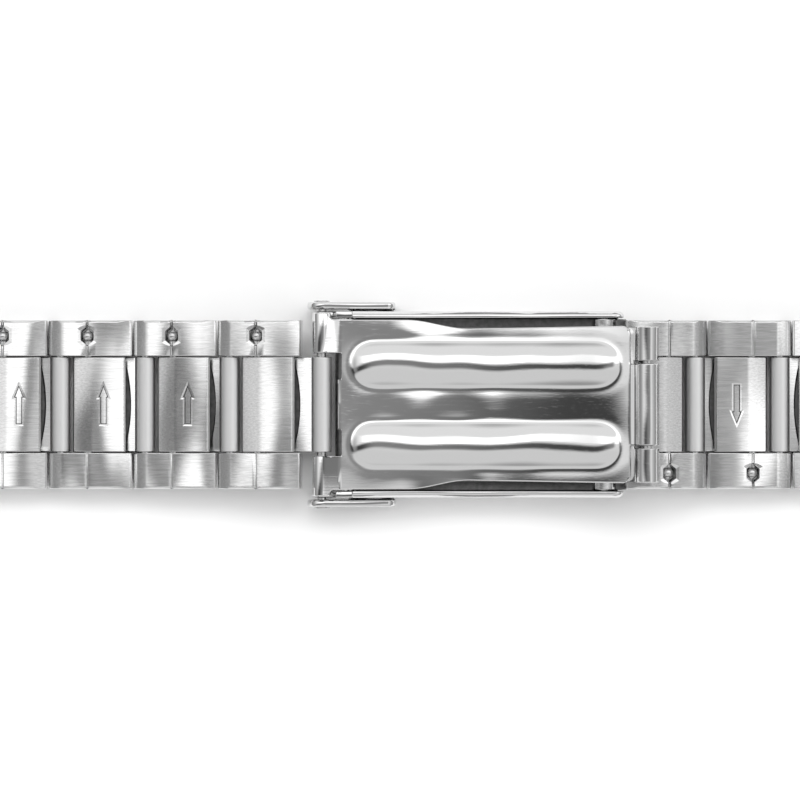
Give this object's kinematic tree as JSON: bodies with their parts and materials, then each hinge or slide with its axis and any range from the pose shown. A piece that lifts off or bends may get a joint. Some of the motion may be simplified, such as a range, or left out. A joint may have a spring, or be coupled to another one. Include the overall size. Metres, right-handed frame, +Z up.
{
  "type": "link watch bracelet",
  "caption": "Steel link watch bracelet with a fold-over clasp, a safety flap and sprung bars that fasten it to a watch, laid flat and closed.",
  "frame": {"origin": "centre of the laid-out bracelet's outline, on the table it lies on", "axes": "+X along the bracelet toward the adjustable end of the clasp's cover, +Y across it, +Z up, from the face that shows in wear to the face that touches the wrist"},
  "size_m": [0.11, 0.0222, 0.0079],
  "materials": {
    "brushed_steel": "fine lines along the bracelet",
    "polished_steel": "polished, with light wear",
    "turned_steel": "smooth turned"
  },
  "bodies": {
    "cover": {"clasp_cover": "brushed_steel", "cover_leaf_pin": "turned_steel"},
    "leaf": {"middle_leaf": "polished_steel", "leaf_blade_pin": "turned_steel"},
    "blade": {"inner_blade": "polished_steel", "blade_link_pin": "turned_steel"},
    "flap": {"safety_flap": "polished_steel", "flap_rivets": "turned_steel"},
    "left_link_1_centre": {"left_link_1_centre": "brushed_steel"},
    "left_link_1_outer": {"left_link_1_outer_far": "brushed_steel", "left_link_1_outer_near": "brushed_steel", "left_link_1_pins": "turned_steel"},
    "left_link_2_centre": {"left_link_2_centre": "brushed_steel"},
    "left_link_2_outer": {"left_link_2_outer_far": "brushed_steel", "left_link_2_outer_near": "brushed_steel", "left_link_2_pins": "turned_steel"},
    "left_link_3_centre": {"left_link_3_centre": "brushed_steel"},
    "left_link_3_outer": {"left_link_3_outer_far": "brushed_steel", "left_link_3_outer_near": "brushed_steel", "left_link_3_pins": "turned_steel"},
    "left_link_4_centre": {"left_link_4_centre": "brushed_steel"},
    "left_link_4_outer": {"left_link_4_outer_far": "brushed_steel", "left_link_4_outer_near": "brushed_steel", "left_link_4_pins": "turned_steel"},
    "left_end": {"left_end_link": "brushed_steel", "left_watch_bar_tube": "turned_steel"},
    "left_watch_bar_tip_far": {"left_watch_bar_tip_far": "turned_steel"},
    "left_watch_bar_tip_near": {"left_watch_bar_tip_near": "turned_steel"},
    "right_link_1_centre": {"right_link_1_centre": "brushed_steel", "adjust_bar_tube": "turned_steel"},
    "right_link_1_outer": {"right_link_1_outer_far": "brushed_steel", "right_link_1_outer_near": "brushed_steel", "right_link_1_pins": "turned_steel"},
    "right_link_2_centre": {"right_link_2_centre": "brushed_steel"},
    "right_link_2_outer": {"right_link_2_outer_far": "brushed_steel", "right_link_2_outer_near": "brushed_steel", "right_link_2_pins": "turned_steel"},
    "right_link_3_centre": {"right_link_3_centre": "brushed_steel"},
    "right_link_3_outer": {"right_link_3_outer_far": "brushed_steel", "right_link_3_outer_near": "brushed_steel", "right_link_3_pins": "turned_steel"},
    "right_end": {"right_end_link": "brushed_steel", "right_watch_bar_tube": "turned_steel"},
    "right_watch_bar_tip_far": {"right_watch_bar_tip_far": "turned_steel"},
    "right_watch_bar_tip_near": {"right_watch_bar_tip_near": "turned_steel"},
    "adjust_bar_tip_far": {"adjust_bar_tip_far": "turned_steel"},
    "adjust_bar_tip_near": {"adjust_bar_tip_near": "turned_steel"}
  },
  "joints": [
    {"name": "leaf_fold", "type": "hinge", "parent": "cover", "child": "leaf", "pos_m": [-0.00809, 0, 0.00294], "axis": [0, -1, 0], "range_deg": [0, 165]},
    {"name": "blade_fold", "type": "hinge", "parent": "leaf", "child": "blade", "pos_m": [0.02411, 0, 0.0064], "axis": [0, 1, 0], "range_deg": [0, 165]},
    {"name": "flap_open", "type": "hinge", "parent": "cover", "child": "flap", "pos_m": [-0.01049, 0, 0.00195], "axis": [0, 1, 0], "range_deg": [0, 100]},
    {"name": "left_blade_hinge", "type": "hinge", "parent": "blade", "child": "left_link_1_centre", "pos_m": [-0.01049, 0, 0.00389], "axis": [0, 1, 0], "range_deg": [-25, 35]},
    {"name": "left_link_1_plate_hinge", "type": "hinge", "parent": "left_link_1_centre", "child": "left_link_1_outer", "pos_m": [-0.01734, 0, 0.00307], "axis": [0, 1, 0], "range_deg": [-8, 18]},
    {"name": "left_link_1_barrel_hinge", "type": "hinge", "parent": "left_link_1_outer", "child": "left_link_2_centre", "pos_m": [-0.02032, 0, 0.00271], "axis": [0, 1, 0], "range_deg": [-8, 18]},
    {"name": "left_link_2_plate_hinge", "type": "hinge", "parent": "left_link_2_centre", "child": "left_link_2_outer", "pos_m": [-0.02638, 0, 0.00207], "axis": [0, 1, 0], "range_deg": [-8, 18]},
    {"name": "left_link_2_barrel_hinge", "type": "hinge", "parent": "left_link_2_outer", "child": "left_link_3_centre", "pos_m": [-0.02937, 0, 0.00183], "axis": [0, 1, 0], "range_deg": [-8, 18]},
    {"name": "left_link_3_plate_hinge", "type": "hinge", "parent": "left_link_3_centre", "child": "left_link_3_outer", "pos_m": [-0.03547, 0, 0.00152], "axis": [0, 1, 0], "range_deg": [-8, 18]},
    {"name": "left_link_3_barrel_hinge", "type": "hinge", "parent": "left_link_3_outer", "child": "left_link_4_centre", "pos_m": [-0.03846, 0, 0.0014], "axis": [0, 1, 0], "range_deg": [-8, 18]},
    {"name": "left_link_4_plate_hinge", "type": "hinge", "parent": "left_link_4_centre", "child": "left_link_4_outer", "pos_m": [-0.04456, 0, 0.0014], "axis": [0, 1, 0], "range_deg": [-8, 18]},
    {"name": "left_end_hinge", "type": "hinge", "parent": "left_link_4_outer", "child": "left_end", "pos_m": [-0.04756, 0, 0.0014], "axis": [0, 1, 0], "range_deg": [-8, 18]},
    {"name": "left_watch_bar_press_far", "type": "slide", "parent": "left_end", "child": "left_watch_bar_tip_far", "axis": [0, -1, 0], "range_m": [0, 0.001], "stiffness_N_per_m": 300},
    {"name": "left_watch_bar_press_near", "type": "slide", "parent": "left_end", "child": "left_watch_bar_tip_near", "axis": [0, 1, 0], "range_m": [0, 0.001], "stiffness_N_per_m": 300},
    {"name": "adjust_hinge", "type": "hinge", "parent": "cover", "child": "right_link_1_centre", "pos_m": [0.01958, 0, 0.0034], "axis": [0, -1, 0], "range_deg": [-6, 8]},
    {"name": "right_link_1_plate_hinge", "type": "hinge", "parent": "right_link_1_centre", "child": "right_link_1_outer", "pos_m": [0.02641, 0, 0.00241], "axis": [0, -1, 0], "range_deg": [-8, 18]},
    {"name": "right_link_1_barrel_hinge", "type": "hinge", "parent": "right_link_1_outer", "child": "right_link_2_centre", "pos_m": [0.02938, 0, 0.00198], "axis": [0, -1, 0], "range_deg": [-8, 18]},
    {"name": "right_link_2_plate_hinge", "type": "hinge", "parent": "right_link_2_centre", "child": "right_link_2_outer", "pos_m": [0.03547, 0, 0.00156], "axis": [0, -1, 0], "range_deg": [-8, 18]},
    {"name": "right_link_2_barrel_hinge", "type": "hinge", "parent": "right_link_2_outer", "child": "right_link_3_centre", "pos_m": [0.03846, 0, 0.0014], "axis": [0, -1, 0], "range_deg": [-8, 18]},
    {"name": "right_link_3_plate_hinge", "type": "hinge", "parent": "right_link_3_centre", "child": "right_link_3_outer", "pos_m": [0.04456, 0, 0.0014], "axis": [0, -1, 0], "range_deg": [-8, 18]},
    {"name": "right_end_hinge", "type": "hinge", "parent": "right_link_3_outer", "child": "right_end", "pos_m": [0.04756, 0, 0.0014], "axis": [0, -1, 0], "range_deg": [-8, 18]},
    {"name": "right_watch_bar_press_far", "type": "slide", "parent": "right_end", "child": "right_watch_bar_tip_far", "axis": [0, -1, 0], "range_m": [0, 0.001], "stiffness_N_per_m": 300},
    {"name": "right_watch_bar_press_near", "type": "slide", "parent": "right_end", "child": "right_watch_bar_tip_near", "axis": [0, 1, 0], "range_m": [0, 0.001], "stiffness_N_per_m": 300},
    {"name": "adjust_bar_press_far", "type": "slide", "parent": "right_link_1_centre", "child": "adjust_bar_tip_far", "axis": [0, -1, 0], "range_m": [0, 0.001], "stiffness_N_per_m": 300},
    {"name": "adjust_bar_press_near", "type": "slide", "parent": "right_link_1_centre", "child": "adjust_bar_tip_near", "axis": [0, 1, 0], "range_m": [0, 0.001], "stiffness_N_per_m": 300}
  ],
  "couplings": [
    {"joint": "blade_fold", "follows": "leaf_fold", "ratio": 1}
  ]
}
